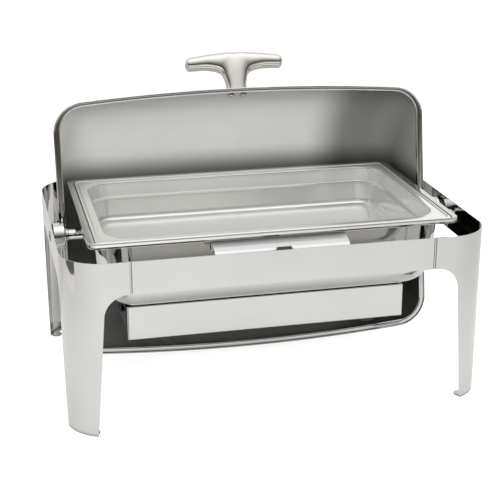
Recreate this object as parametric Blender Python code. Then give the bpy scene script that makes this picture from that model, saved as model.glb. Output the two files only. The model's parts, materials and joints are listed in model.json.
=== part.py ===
"""Roll-top chafing dish: sheet-metal frame, water pan, food pan, roll-top lid and sliding burner shelf.

Millimetres are turned into metres by MM. The origin is on the floor under the middle of the frame,
+X is to the right, +Z is up and the front faces -Y. The lid is built closed and then rolled open.
"""

import math

import bmesh
import bpy
from mathutils import Matrix, Vector

MM = 0.001
GAP = 0.3 * MM
SIDES = {"left": -1, "right": 1}
ENDS = {"front": -1, "rear": 1}

# Frame: two bent end sheets joined by a front and a rear band.
FRAME_X = 317.2 * MM
FRAME_Y = 220.0 * MM
FRAME_TOP = 264.2 * MM
FRAME_SHEET = 1.2 * MM
CORNER_R = 65.0 * MM
CORNER_STEPS = 8
BAND_BOTTOM = 215.8 * MM
SEAM_X = 224.9 * MM
SEAM_GAP = 2.5 * MM
BAND_OVERLAP = 14.6 * MM
LEG_EDGE_X_TOP = 262.1 * MM
LEG_EDGE_X_FOOT = 276.6 * MM
LEG_EDGE_Y_TOP = 153.9 * MM
LEG_EDGE_Y_FOOT = 168.5 * MM
ARCH_R = 34.3 * MM
ARCH_STEPS = 6
FOOT_WIDTH = 7.3 * MM
FOOT_SHEET = 2.0 * MM
FOOT_PEEK = 3.6 * MM
FOOT_LOBE_R = 8.0 * MM

# Pans: a full-size catering pan, and the water pan whose rim frames it.
PAN_Y = -14.6 * MM
RIM_X = 265.0 * MM
RIM_Y = 162.5 * MM
RIM_TOP = 279.5 * MM
RIM_CORNER = 7.0 * MM
OPENING_X = 250.0 * MM
OPENING_Y = 147.5 * MM
PAN_SHEET = 0.8 * MM
RIM_DEPTH = 4.8 * MM
PAN_LEDGE = 252.6 * MM
PAN_FLOOR = 215.3 * MM
BORDER_GAP = 1.0 * MM
WELL_X = 276.0 * MM
WELL_FRONT = -180.0 * MM
WELL_BACK = 158.4 * MM
WELL_TOP = 279.0 * MM
WELL_SKIRT = 271.2 * MM
WELL_CORNER = 14.0 * MM
WATER_X = 261.9 * MM
WATER_Y = 152.0 * MM
WATER_CORNER = 53.0 * MM
WATER_CORNER_LOSS = 0.83
WATER_BOTTOM = 161.6 * MM
WATER_BOTTOM_R = 44.0 * MM
WATER_BOTTOM_STEPS = 5
WATER_DRAFT = 0.065
WALL_TOP = 271.0 * MM
PAN_CORNER_STEPS = 5

# Lid axis and shell.
AXIS_Z = 237.1 * MM
OPEN_ANGLE = math.radians(99.5)
LID_X = 291.0 * MM
LID_R = 211.3 * MM
LID_BOW = 13.8 * MM
LID_CORNER = 41.6 * MM
LID_SHEET = 1.0 * MM
LID_RIM_W = 26.0 * MM
LID_DRAFT = 0.03
LID_TUCK = 0.045
LID_TUCK_SPAN = 0.2
FRONT_TUCK = 0.028
FRONT_TUCK_R = (120.0 * MM, 190.0 * MM)
LID_COLUMNS = 18
FLANGE = 9.0 * MM
BEAD_DROP = 0.8 * MM
FRONT_FLANGE = 0.7

# Pivots.
COLLAR_R = 19.2 * MM
COLLAR_INNER_X = 294.3 * MM
COLLAR_OUTER_X = 313.0 * MM
ARM_X = LID_X + FLANGE + GAP
ARM_SHEET = 2.5 * MM
ARM_HALF_WIDTH = 17.7 * MM
ARM_JOG = (35.4 * MM, 45.8 * MM)
ARM_TOP = 85.3 * MM
PIN_R = 7.3 * MM
ROD_R = 8.8 * MM
STUD_R = 4.0 * MM
END_SCREW_R = 3.0 * MM
END_HEAD_R = 8.3 * MM
BUSH_R = 9.4 * MM
LUG_R = 12.0 * MM
LUG_X = (WATER_X - 1.0 * MM, WATER_X + 4.6 * MM)
RIVET_R = 2.5 * MM
RIVET_HEAD_R = 4.6 * MM
RIVET_HEAD = 2.0 * MM
RIVET_SPOTS = ((-9.4 * MM, 56.2 * MM), (9.4 * MM, 72.8 * MM))

# Handle, standing on the lid's front 19 degrees above the closed rim.
HANDLE_ANGLE = math.radians(19.0)
HANDLE_BASE = LID_R + 0.5 * MM
SCREW_HALF_PITCH = 10.0 * MM
SCREW_R = 2.5 * MM
SCREW_HEAD_R = 5.4 * MM
SCREW_HEAD = 2.6 * MM
BORE_END = LID_R + 10 * MM

# Support ledge behind the front band.
LEDGE_X = 99.8 * MM
LEDGE_SHEET = 1.2 * MM
LEDGE_TOP = 257.0 * MM
LEDGE_CREST = 268.2 * MM
LEDGE_HOOK = 253.0 * MM
LEDGE_APRON = 237.0 * MM
LEDGE_SLOPE = ((-184.0 * MM, 263.6 * MM), (-194.5 * MM, 260.0 * MM), (-197.6 * MM, LEDGE_TOP))
STEM_X = 4.0 * MM
STEM_Y = (-208.0 * MM, -200.0 * MM)
BUMPER_X = 10.4 * MM
BUMPER_Y = (-210.4 * MM, -197.8 * MM)
BUMPER_TOP = AXIS_Z + LID_RIM_W - BEAD_DROP - GAP

# Burner shelf and what stands in it.
SHELF_X = 216.5 * MM
SHELF_FRONT = -112.5 * MM
SHELF_BACK = 112.3 * MM
SHELF_LOW = 100.9 * MM
SHELF_HIGH = 155.1 * MM
SHELF_SHEET = 1.0 * MM
FACING_DEPTH = 34.3 * MM
TRAY_HIGH = 146.6 * MM
LIP_X = 222.0 * MM
RAIL_X = 224.6 * MM
RAIL_FOOT_X = 190.0 * MM
RAIL_FLANGE_X = 217.8 * MM
RAIL_SHEET = 1.4 * MM
RAIL_Y = (-100.0 * MM, 109.2 * MM)
BUTTON_X = 161.2 * MM
BUTTON_R = 12.5 * MM
BUTTON_HEIGHT = 5.5 * MM
CUP_X = 116.5 * MM
CUP_Y = -6.2 * MM
CUP_R = 45.8 * MM
CUP_TOP = 145.0 * MM
CUP_PIN_REACH = 52.0 * MM
CUP_PIN_R = 2.0 * MM


def clear_scene():
    for obj in list(bpy.data.objects):
        bpy.data.objects.remove(obj, do_unlink=True)


def finish_material(name, colour, roughness, metallic):
    mat = bpy.data.materials.new(name)
    mat.use_nodes = True
    shader = mat.node_tree.nodes["Principled BSDF"]
    shader.inputs["Base Color"].default_value = (*colour, 1.0)
    shader.inputs["Roughness"].default_value = roughness
    shader.inputs["Metallic"].default_value = metallic
    mat.diffuse_color = (*colour, 1.0)
    return mat


def polished(name):
    return finish_material(name, (0.66, 0.655, 0.635), 0.08, 1.0)


def satin(name):
    return finish_material(name, (0.62, 0.62, 0.60), 0.32, 1.0)


def blackened(name):
    return finish_material(name, (0.06, 0.058, 0.055), 0.4, 1.0)


def rubber(name):
    return finish_material(name, (0.03, 0.03, 0.03), 0.6, 0.0)


def nylon(name):
    return finish_material(name, (0.75, 0.74, 0.70), 0.45, 0.0)


def add_object(name, bm, mat, parent=None):
    """Links the bmesh as an object; faces are turned outwards and the surface is smooth between sharp edges."""
    bmesh.ops.remove_doubles(bm, verts=bm.verts, dist=1e-7)
    bmesh.ops.recalc_face_normals(bm, faces=bm.faces)
    mesh = bpy.data.meshes.new(name)
    bm.to_mesh(mesh)
    bm.free()
    mesh.shade_smooth()
    mesh.set_sharp_from_angle(angle=math.radians(30))
    mesh.materials.append(mat)
    obj = bpy.data.objects.new(name, mesh)
    bpy.context.scene.collection.objects.link(obj)
    obj.parent = parent
    return obj


def add_helper(name, bm, parent=None):
    """A hidden shape that a Boolean modifier uses."""
    bmesh.ops.recalc_face_normals(bm, faces=bm.faces)
    mesh = bpy.data.meshes.new(name)
    bm.to_mesh(mesh)
    bm.free()
    obj = bpy.data.objects.new(name, mesh)
    bpy.context.scene.collection.objects.link(obj)
    obj.hide_render = True
    obj.display_type = "WIRE"
    obj.parent = parent
    return obj


def combine(obj, helper, operation):
    mod = obj.modifiers.new(helper.name, "BOOLEAN")
    mod.operation = operation
    mod.solver = "EXACT"
    mod.object = helper


def add_empty(name, location, rotation_x=0.0):
    empty = bpy.data.objects.new(name, None)
    bpy.context.scene.collection.objects.link(empty)
    empty.location = location
    empty.rotation_euler.x = rotation_x
    return empty


def to_space(axis, a, b, along):
    """A point of an outline drawn across the given axis."""
    if axis == "X":
        return Vector((along, a, b))
    if axis == "Y":
        return Vector((a, along, b))
    return Vector((a, b, along))


def prism(outline, axis, start, end):
    """The outline, a list of (a, b), extruded along an axis from start to end."""
    bm = bmesh.new()
    face = bm.faces.new([bm.verts.new(to_space(axis, a, b, start)) for a, b in outline])
    out = bmesh.ops.extrude_face_region(bm, geom=[face])
    moved = [v for v in out["geom"] if isinstance(v, bmesh.types.BMVert)]
    bmesh.ops.translate(bm, verts=moved, vec=to_space(axis, 0, 0, end - start))
    return bm


def box(low, high):
    outline = [(low[0], low[1]), (high[0], low[1]), (high[0], high[1]), (low[0], high[1])]
    return prism(outline, "Z", low[2], high[2])


def circle(radius, steps, centre=(0.0, 0.0)):
    turn = 2 * math.pi / steps
    return [(centre[0] + radius * math.cos(i * turn), centre[1] + radius * math.sin(i * turn)) for i in range(steps)]


def arc(centre, radius, start, end, steps):
    """Points on an arc; angles in degrees."""
    points = []
    for i in range(steps + 1):
        t = math.radians(start + (end - start) * i / steps)
        points.append((centre[0] + radius * math.cos(t), centre[1] + radius * math.sin(t)))
    return points


def offset_path(path, distance):
    """An open path moved to its left by a distance, with mitred corners."""
    moved = []
    for i, point in enumerate(path):
        here = Vector(point)
        sides = []
        if i > 0:
            sides.append((here - Vector(path[i - 1])).normalized())
        if i < len(path) - 1:
            sides.append((Vector(path[i + 1]) - here).normalized())
        normals = [Vector((-s.y, s.x)) for s in sides]
        mean = (normals[0] + normals[-1]).normalized()
        moved.append(here + mean * (distance / mean.dot(normals[0])))
    return [(p.x, p.y) for p in moved]


def sheet_along(path, axis, low, high, thickness):
    """A sheet whose edge follows the path; the thickness goes to the path's left."""
    other = offset_path(path, thickness)
    bm = bmesh.new()
    rows = []
    for (a, b), (c, d) in zip(path, other):
        corners = [(a, b, low), (a, b, high), (c, d, high), (c, d, low)]
        rows.append([bm.verts.new(to_space(axis, *corner)) for corner in corners])
    for row, after in zip(rows, rows[1:]):
        for i in range(4):
            j = (i + 1) % 4
            bm.faces.new((row[i], row[j], after[j], after[i]))
    bm.faces.new(rows[0])
    bm.faces.new(rows[-1])
    return bm


def turned(profile, steps):
    """A closed profile of (x, radius) spun about the X axis."""
    bm = bmesh.new()
    verts = [bm.verts.new((x, 0.0, max(r, 0.0))) for x, r in profile]
    edges = [bm.edges.new((a, b)) for a, b in zip(verts, verts[1:])]
    if profile[0][1] > 0:
        edges.append(bm.edges.new((verts[-1], verts[0])))
    bmesh.ops.spin(
        bm, geom=verts + edges, cent=(0, 0, 0), axis=(1, 0, 0), angle=2 * math.pi, steps=steps, use_merge=True
    )
    bmesh.ops.remove_doubles(bm, verts=bm.verts, dist=1e-6)
    return bm


def rounded_ring(half_x, half_y, radius, steps):
    """A rounded rectangle about the origin, counter-clockwise."""
    ring = []
    for k, (sx, sy) in enumerate(((1, 1), (-1, 1), (-1, -1), (1, -1))):
        centre = (sx * (half_x - radius), sy * (half_y - radius))
        ring += arc(centre, radius, 90 * k, 90 * k + 90, steps)
    return ring


def pan_body(stations, steps):
    """A pressed pan: rounded rectangles from the outer bottom, over the rim and down to the inner floor.

    A station is (half length, front, back, corner radius, height).
    """
    bm = bmesh.new()
    rings = []
    for half_x, front, back, radius, z in stations:
        middle = (front + back) / 2
        outline = rounded_ring(half_x, (back - front) / 2, radius, steps)
        rings.append([bm.verts.new((x, y + middle, z)) for x, y in outline])
    count = len(rings[0])
    for ring, after in zip(rings, rings[1:]):
        for i in range(count):
            j = (i + 1) % count
            bm.faces.new((ring[i], ring[j], after[j], after[i]))
    bm.faces.new(rings[0])
    bm.faces.new(rings[-1])
    return bm


def inset_station(half_x, half_y, radius, inset, z):
    """A pan station drawn in from a rectangle about the pans' middle."""
    x = half_x - inset
    y = half_y - inset
    return (x, PAN_Y - y, PAN_Y + y, radius, z)


def end_plan(side):
    """The outside of one frame end seen from above, from the front seam to the rear seam."""
    inner_x = FRAME_X - CORNER_R
    inner_y = FRAME_Y - CORNER_R
    path = [(SEAM_X, -FRAME_Y)]
    path += arc((inner_x, -inner_y), CORNER_R, -90, 0, CORNER_STEPS)
    path += arc((inner_x, inner_y), CORNER_R, 0, 90, CORNER_STEPS)
    path.append((SEAM_X, FRAME_Y))
    if side < 0:
        path = [(-x, y) for x, y in reversed(path)]
    return path


def arch_window(edge_top, edge_foot, far):
    """The opening beside a leg: its tapering edge, the rounded arch and the underside of the band."""
    outline = [(far, -5 * MM), (edge_foot, -5 * MM), (edge_foot, 0.0)]
    spring = BAND_BOTTOM - ARCH_R
    outline += arc((edge_top - ARCH_R, spring), ARCH_R, 0, 90, ARCH_STEPS)
    outline.append((far, BAND_BOTTOM))
    return outline


def frame_end(name, side):
    end = add_object(
        f"frame_end_{name}",
        sheet_along(end_plan(side), "Z", 0.0, FRAME_TOP, FRAME_SHEET),
        polished(f"frame_end_{name}"),
    )
    front = [(side * x, z) for x, z in arch_window(LEG_EDGE_X_TOP, LEG_EDGE_X_FOOT, SEAM_X - 20 * MM)]
    front_cut = add_helper(f"cut_front_{name}", prism(front, "Y", -FRAME_Y - 5 * MM, FRAME_Y + 5 * MM))
    half = arch_window(LEG_EDGE_Y_TOP, LEG_EDGE_Y_FOOT, 0.0)
    whole = half[1:] + [(-y, z) for y, z in reversed(half[1:])]
    low, high = sorted((side * (FRAME_X - 10 * MM), side * (FRAME_X + 5 * MM)))
    side_cut = add_helper(f"cut_side_{name}", prism(whole, "X", low, high))
    hole = prism(circle(END_SCREW_R + GAP, 12, (0.0, AXIS_Z)), "X", low, high)
    hole_cut = add_helper(f"cut_pin_{name}", hole)
    for cutter in (front_cut, side_cut, hole_cut):
        combine(end, cutter, "DIFFERENCE")
    return end


def frame_band(name, end):
    """A cross band whose ends step inwards behind the end sheets."""
    step = FRAME_SHEET + GAP
    start = SEAM_X - SEAM_GAP
    half = [
        (SEAM_X + BAND_OVERLAP, -FRAME_Y + step),
        (start, -FRAME_Y + step),
        (start - step, -FRAME_Y),
    ]
    path = [(-x, y) for x, y in half] + [(x, y) for x, y in reversed(half)]
    if end > 0:
        path = [(x, -y) for x, y in reversed(path)]
    return add_object(
        f"{name}_band", sheet_along(path, "Z", BAND_BOTTOM, FRAME_TOP, FRAME_SHEET), polished(f"{name}_band")
    )


def foot_plate(name, side, end):
    """A curved strip inside a leg's bottom, with a round lobe at each end just past the leg's edge."""
    centre = (FRAME_X - CORNER_R, FRAME_Y - CORNER_R)
    outer = CORNER_R - FRAME_SHEET - GAP
    inner = outer - FOOT_WIDTH
    lobe_reach = outer - FOOT_LOBE_R - GAP
    inset = FOOT_LOBE_R - FOOT_PEEK
    start = math.degrees(math.acos((LEG_EDGE_X_FOOT + inset - centre[0]) / lobe_reach))
    stop = math.degrees(math.asin((LEG_EDGE_Y_FOOT + inset - centre[1]) / lobe_reach))
    outline = arc(centre, outer, stop, start, 8)
    outline += arc(centre, inner, start, stop, 8)
    outline = [(side * x, end * y) for x, y in outline]
    foot = add_object(name, prism(outline, "Z", 0.0, FOOT_SHEET), satin(name))
    for label, degrees in (("front", start), ("side", stop)):
        turn = math.radians(degrees)
        spot = (
            side * (centre[0] + lobe_reach * math.cos(turn)),
            end * (centre[1] + lobe_reach * math.sin(turn)),
        )
        lobe = prism(circle(FOOT_LOBE_R, 20, spot), "Z", 0.0, FOOT_SHEET)
        combine(foot, add_helper(f"add_{name}_{label}", lobe), "UNION")
    return foot


def support_ledge():
    """A stepped strip from the front band's inside up to the water pan's wall."""
    band = -FRAME_Y + FRAME_SHEET + GAP
    wall = PAN_Y - WATER_Y - GAP - LEDGE_SHEET
    path = [
        (wall, LEDGE_HOOK),
        (wall, LEDGE_CREST),
        *LEDGE_SLOPE,
        (band, LEDGE_TOP),
        (band, LEDGE_APRON),
    ]
    ledge = add_object(
        "front_ledge", sheet_along(path, "X", -LEDGE_X, LEDGE_X, LEDGE_SHEET), polished("front_ledge")
    )
    hole = box(
        (-STEM_X - GAP, STEM_Y[0] - GAP, LEDGE_TOP - 7 * MM),
        (STEM_X + GAP, STEM_Y[1] + GAP, LEDGE_TOP + 5 * MM),
    )
    combine(ledge, add_helper("cut_bumper", hole), "DIFFERENCE")
    return ledge


def lid_bumper():
    """The block that the closed lid's rim rests on, with a stem through the ledge."""
    low_y, high_y = BUMPER_Y
    low_z = LEDGE_TOP + GAP
    outline = [
        (low_y, low_z),
        (high_y - 2.5 * MM, low_z),
        (high_y, low_z + 3.4 * MM),
        (high_y - 1 * MM, BUMPER_TOP),
        (low_y + 2 * MM, BUMPER_TOP),
        (low_y, BUMPER_TOP - 2 * MM),
    ]
    bumper = add_object("lid_bumper", prism(outline, "X", -BUMPER_X, BUMPER_X), rubber("lid_bumper"))
    stem = box((-STEM_X, STEM_Y[0], LEDGE_TOP - 3.5 * MM), (STEM_X, STEM_Y[1], LEDGE_TOP + 2 * MM))
    combine(bumper, add_helper("add_bumper_stem", stem), "UNION")
    return bumper


def water_wall(skin):
    """The water pan's floor, deep bottom bend and drafted wall, moved inwards by a skin thickness."""
    stations = []
    for i in range(WATER_BOTTOM_STEPS + 1):
        turn = math.radians(90 * i / WATER_BOTTOM_STEPS)
        rise = WATER_BOTTOM_R * (1 - math.cos(turn))
        inset = WATER_BOTTOM_R * (1 - math.sin(turn)) + WATER_DRAFT * (WALL_TOP - WATER_BOTTOM - rise)
        radius = WATER_CORNER - WATER_CORNER_LOSS * inset - skin
        stations.append(inset_station(WATER_X, WATER_Y, radius, inset + skin, WATER_BOTTOM + rise + skin))
    stations.append(inset_station(WATER_X, WATER_Y, WATER_CORNER - skin, skin, WALL_TOP))
    return stations


def well_station(reach, radius, z):
    """A rim station a given reach outside the food pan's rim, on all four sides."""
    return (RIM_X + reach, PAN_Y - RIM_Y - reach, PAN_Y + RIM_Y + reach, radius, z)


def border_station(inset, z):
    """A station drawn in from the water pan's outermost edge."""
    return (WELL_X - inset, WELL_FRONT + inset, WELL_BACK - inset, WELL_CORNER - inset, z)


def water_pan():
    """The water pan, whose rim has a recess for the food pan and a border with a short skirt."""
    t = PAN_SHEET
    seat = RIM_TOP - RIM_DEPTH - GAP
    under = [
        inset_station(WATER_X, WATER_Y, WATER_CORNER, -0.9 * MM, seat - t),
        well_station(BORDER_GAP + 0.6 * MM, RIM_CORNER, seat - t),
        well_station(BORDER_GAP + 0.6 * MM, RIM_CORNER, WELL_TOP - t),
        border_station(0.7 * MM, WELL_TOP - t),
        border_station(0.7 * MM, WELL_SKIRT + 0.3 * MM),
        border_station(0.3 * MM, WELL_SKIRT),
    ]
    over = [
        border_station(0.0, WELL_SKIRT + 0.5 * MM),
        border_station(0.0, WELL_TOP - 0.9 * MM),
        border_station(0.3 * MM, WELL_TOP - 0.3 * MM),
        border_station(0.8 * MM, WELL_TOP),
        well_station(BORDER_GAP + 1.0 * MM, RIM_CORNER + 1 * MM, WELL_TOP + 0.1 * MM),
        well_station(BORDER_GAP + 0.5 * MM, RIM_CORNER + 0.5 * MM, WELL_TOP + 0.4 * MM),
        well_station(BORDER_GAP, RIM_CORNER, WELL_TOP - 0.4 * MM),
        well_station(BORDER_GAP, RIM_CORNER, seat),
        inset_station(WATER_X, WATER_Y, WATER_CORNER, 0.1 * MM, seat),
    ]
    inner = list(reversed(water_wall(t)))
    return add_object(
        "water_pan", pan_body(water_wall(0.0) + under + over + inner, PAN_CORNER_STEPS), polished("water_pan")
    )


def food_pan():
    """A 65 mm deep catering pan with a stacking ledge, a flat flange and a raised bead along its edge."""
    t = PAN_SHEET
    flange = RIM_TOP - 0.8 * MM
    inner = [
        (0.0, 41.6 * MM, flange),
        (1.8 * MM, 40.6 * MM, flange - 1.3 * MM),
        (2.6 * MM, 40.0 * MM, flange - 4.2 * MM),
        (3.4 * MM, 39.0 * MM, PAN_LEDGE + 3.0 * MM),
        (4.3 * MM, 38.5 * MM, PAN_LEDGE + 1.8 * MM),
        (7.0 * MM, 37.0 * MM, PAN_LEDGE - 0.6 * MM),
        (8.0 * MM, 36.0 * MM, PAN_LEDGE - 2.2 * MM),
        (11.2 * MM, 33.0 * MM, PAN_FLOOR + 15 * MM),
        (13.6 * MM, 30.0 * MM, PAN_FLOOR + 6.4 * MM),
        (18.6 * MM, 26.0 * MM, PAN_FLOOR + 1.6 * MM),
        (26.0 * MM, 20.0 * MM, PAN_FLOOR),
    ]
    inside = [inset_station(OPENING_X, OPENING_Y, radius, inset, z) for inset, radius, z in inner]
    outside = [inset_station(OPENING_X, OPENING_Y, radius + t, inset - t, z - t) for inset, radius, z in inner]
    outside.reverse()
    rim = [
        well_station(-5.0 * MM, RIM_CORNER, flange - 1.4 * MM),
        well_station(-3.0 * MM, RIM_CORNER, RIM_TOP - 1.0 * MM),
        well_station(-0.8 * MM, RIM_CORNER, RIM_TOP - 1.5 * MM),
        well_station(-0.8 * MM, RIM_CORNER, RIM_TOP - RIM_DEPTH + 0.2 * MM),
        well_station(-0.2 * MM, RIM_CORNER, RIM_TOP - RIM_DEPTH),
        well_station(0.0, RIM_CORNER, RIM_TOP - RIM_DEPTH + 0.6 * MM),
        well_station(0.0, RIM_CORNER, RIM_TOP - 1.3 * MM),
        well_station(-0.6 * MM, RIM_CORNER, RIM_TOP - 0.3 * MM),
        well_station(-1.8 * MM, RIM_CORNER, RIM_TOP),
        well_station(-3.4 * MM, RIM_CORNER, RIM_TOP - 0.2 * MM),
        well_station(-4.8 * MM, RIM_CORNER, flange - 0.6 * MM),
        well_station(-6.2 * MM, RIM_CORNER, flange),
    ]
    return add_object("food_pan", pan_body(outside + rim + inside, PAN_CORNER_STEPS), satin("food_pan"))


def lid_profile():
    """Half of the lid's outer outline as (x, radius), from the middle of the barrel to the end wall's centre."""
    centre_x = LID_X - LID_CORNER
    slope = math.degrees(math.atan(2 * LID_BOW * centre_x / LID_X**2))
    start_x = centre_x + LID_CORNER * math.sin(math.radians(slope))
    barrel = [(x, LID_R - LID_BOW * (x / LID_X) ** 2) for x in (start_x * i / 5 for i in range(6))]
    centre_r = barrel.pop()[1] - LID_CORNER * math.cos(math.radians(slope))
    corner = arc((centre_x, centre_r), LID_CORNER, 90 - slope, 0, 4)
    wall = [(LID_X, 104 * MM), (LID_X, 62 * MM), (LID_X, LID_RIM_W / (1 - LID_TUCK))]
    return barrel + corner + wall


def wall_x(height):
    """How far out the lid's end wall is, at a height above the pivot axis with the lid closed."""
    return LID_X - LID_DRAFT * (height - LID_RIM_W)


def front_tuck(radius):
    """How far the front rim is drawn in; it matches the rest of the rim at the end walls."""
    low, high = FRONT_TUCK_R
    share = min(1.0, max(0.0, (radius - low) / (high - low)))
    return LID_TUCK + (FRONT_TUCK - LID_TUCK) * share


def lid_row(x, r):
    """One bent line of the lid's outer skin from its front rim to its rear rim."""
    tucks = (front_tuck(r), LID_TUCK)
    start, stop = (math.asin(min(1.0, LID_RIM_W / (r * (1 - tuck)))) for tuck in tucks)
    stop = math.pi - stop
    row = []
    for i in range(LID_COLUMNS + 1):
        angle = start + (stop - start) * i / LID_COLUMNS
        tuck = tucks[0] if angle < math.pi / 2 else tucks[1]
        from_rim = min(angle - start, stop - angle) / LID_TUCK_SPAN
        reach = r * (1 - tuck * max(0.0, 1 - from_rim) ** 2)
        height = reach * math.sin(angle)
        row.append((x * wall_x(height) / LID_X, -reach * math.cos(angle), height))
    return row


def lid_surface():
    """The lid's outer skin above the rim plane, in the lid's closed position about its axis."""
    half = lid_profile()
    profile = [(-x, r) for x, r in reversed(half[1:])] + half
    bm = bmesh.new()
    rows = []
    for x, r in profile:
        if r * (1 - LID_TUCK) <= LID_RIM_W * 1.000001:
            rows.append([bm.verts.new((x, 0.0, LID_RIM_W))] * (LID_COLUMNS + 1))
        else:
            rows.append([bm.verts.new(spot) for spot in lid_row(x, r)])
    for row, after in zip(rows, rows[1:]):
        for i in range(LID_COLUMNS):
            corners = []
            for vert in (row[i], row[i + 1], after[i + 1], after[i]):
                if vert not in corners:
                    corners.append(vert)
            bm.faces.new(corners)
    front = [(row[0].co.x, row[0].co.y) for row in rows]
    rear = [(row[-1].co.x, row[-1].co.y) for row in reversed(rows[1:-1])]
    return bm, front + rear


def rim_flange(loop):
    """The flange round the lid's opening with a bead along its edge; the loop runs counter-clockwise from above."""
    section = [
        (-1.3, 6.0), (-1.3, 2.2), (-0.2, 0.6), (1.2, 0.0), (5.4, 0.0), (5.9, 0.8), (6.4, -0.3), (7.6, -0.8),
        (8.8, -0.1), (9.0, 1.2), (8.3, 2.6), (6.8, 2.8), (6.0, 1.8), (1.2, 1.6), (0.3, 2.6), (0.3, 6.0),
    ]
    bm = bmesh.new()
    rings = []
    count = len(loop)
    for i in range(count):
        before = Vector(loop[i - 1])
        here = Vector(loop[i])
        after = Vector(loop[(i + 1) % count])
        a = (here - before).normalized()
        b = (after - here).normalized()
        outward = (Vector((a.y, -a.x)) + Vector((b.y, -b.x))).normalized()
        stretch = 1 / max(0.7, outward.dot(Vector((a.y, -a.x))))
        width = 1 - (1 - FRONT_FLANGE) * max(0.0, -outward.y) ** 2
        ring = []
        for reach, height in section:
            spot = here + outward * (reach * MM * stretch * (width if reach > 0 else 1.0))
            ring.append(bm.verts.new((spot.x, spot.y, LID_RIM_W + height * MM)))
        rings.append(ring)
    size = len(section)
    for i in range(count):
        ring = rings[i]
        after = rings[(i + 1) % count]
        for j in range(size):
            k = (j + 1) % size
            bm.faces.new((ring[j], ring[k], after[k], after[j]))
    return bm


def handle_frame():
    """Turns a shape built standing on +Z so that it stands on the lid's front."""
    return Matrix.Rotation(math.pi / 2 - HANDLE_ANGLE, 4, "X")


def lid_shell(axis):
    bm, loop = lid_surface()
    shell = add_object("lid_shell", bm, satin("lid_shell"), axis)
    solidify = shell.modifiers.new("sheet", "SOLIDIFY")
    solidify.thickness = LID_SHEET
    solidify.offset = -1
    solidify.use_even_offset = True
    combine(shell, add_helper("add_rim_flange", rim_flange(loop), axis), "UNION")
    for label, side in SIDES.items():
        cut = prism(circle(SCREW_R + GAP, 10, (side * SCREW_HALF_PITCH, 0.0)), "Z", LID_R - 13 * MM, LID_R + 7 * MM)
        cut.transform(handle_frame())
        combine(shell, add_helper(f"cut_screw_{label}", cut, axis), "DIFFERENCE")
        for i, spot in enumerate(RIVET_SPOTS):
            low, high = sorted((side * (LID_X - 8 * MM), side * (LID_X + 8 * MM)))
            cut = prism(circle(RIVET_R + GAP, 10, spot), "X", low, high)
            combine(shell, add_helper(f"cut_rivet_{label}_{i}", cut, axis), "DIFFERENCE")
    return shell


def hinge_arm(name, side, axis):
    """A collar on the pivot with a flat arm that lies on the lid's end wall."""
    collar = [
        (side * COLLAR_INNER_X, BUSH_R + GAP),
        (side * COLLAR_OUTER_X, BUSH_R + GAP),
        (side * COLLAR_OUTER_X, COLLAR_R - 1.5 * MM),
        (side * (COLLAR_OUTER_X - 1.5 * MM), COLLAR_R),
        (side * (COLLAR_INNER_X + 1.5 * MM), COLLAR_R),
        (side * COLLAR_INNER_X, COLLAR_R - 1.5 * MM),
    ]
    arm = add_object(f"hinge_arm_{name}", turned(collar, 24), polished(f"hinge_arm_{name}"), axis)
    outside = wall_x(ARM_TOP) + GAP
    path = [
        (ARM_X, 14.5 * MM),
        (ARM_X, ARM_JOG[0]),
        (wall_x(ARM_JOG[1]) + GAP, ARM_JOG[1]),
        (outside, ARM_TOP),
    ]
    path = [(side * x, z) for x, z in path]
    if side > 0:
        path = list(reversed(path))
    strap = sheet_along(path, "Y", -ARM_HALF_WIDTH, ARM_HALF_WIDTH, ARM_SHEET)
    combine(arm, add_helper(f"add_arm_{name}", strap, axis), "UNION")
    for i, spot in enumerate(RIVET_SPOTS):
        low, high = sorted((side * (LID_X - 8 * MM), side * (LID_X + 8 * MM)))
        cut = prism(circle(RIVET_R + GAP, 10, spot), "X", low, high)
        combine(arm, add_helper(f"cut_arm_{name}_{i}", cut, axis), "DIFFERENCE")
    return arm


def hinge_rivet(name, side, spot, axis):
    outer = wall_x(spot[1]) + ARM_SHEET + 3 * GAP
    inner = wall_x(spot[1]) - LID_SHEET - 2 * GAP
    profile = [
        (side * (inner - RIVET_HEAD), 0.0),
        (side * (inner - RIVET_HEAD), RIVET_HEAD_R * 0.6),
        (side * inner, RIVET_HEAD_R),
        (side * inner, RIVET_R),
        (side * outer, RIVET_R),
        (side * outer, RIVET_HEAD_R),
        (side * (outer + RIVET_HEAD), RIVET_HEAD_R * 0.6),
        (side * (outer + RIVET_HEAD), 0.0),
    ]
    bm = turned(profile, 12)
    bmesh.ops.translate(bm, verts=bm.verts, vec=(0.0, spot[0], spot[1]))
    return add_object(name, bm, satin(name), axis)


def hinge_bush(name, side, axis):
    bore = PIN_R + 0.2 * MM
    profile = [
        (side * (COLLAR_INNER_X + 0.5 * MM), bore),
        (side * (COLLAR_OUTER_X + 2.0 * MM), bore),
        (side * (COLLAR_OUTER_X + 2.0 * MM), BUSH_R + 4 * MM),
        (side * (COLLAR_OUTER_X + GAP), BUSH_R + 4 * MM),
        (side * (COLLAR_OUTER_X + GAP), BUSH_R),
        (side * (COLLAR_INNER_X + 0.5 * MM), BUSH_R),
    ]
    return add_object(f"hinge_bush_{name}", turned(profile, 24), nylon(f"hinge_bush_{name}"), axis)


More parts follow.
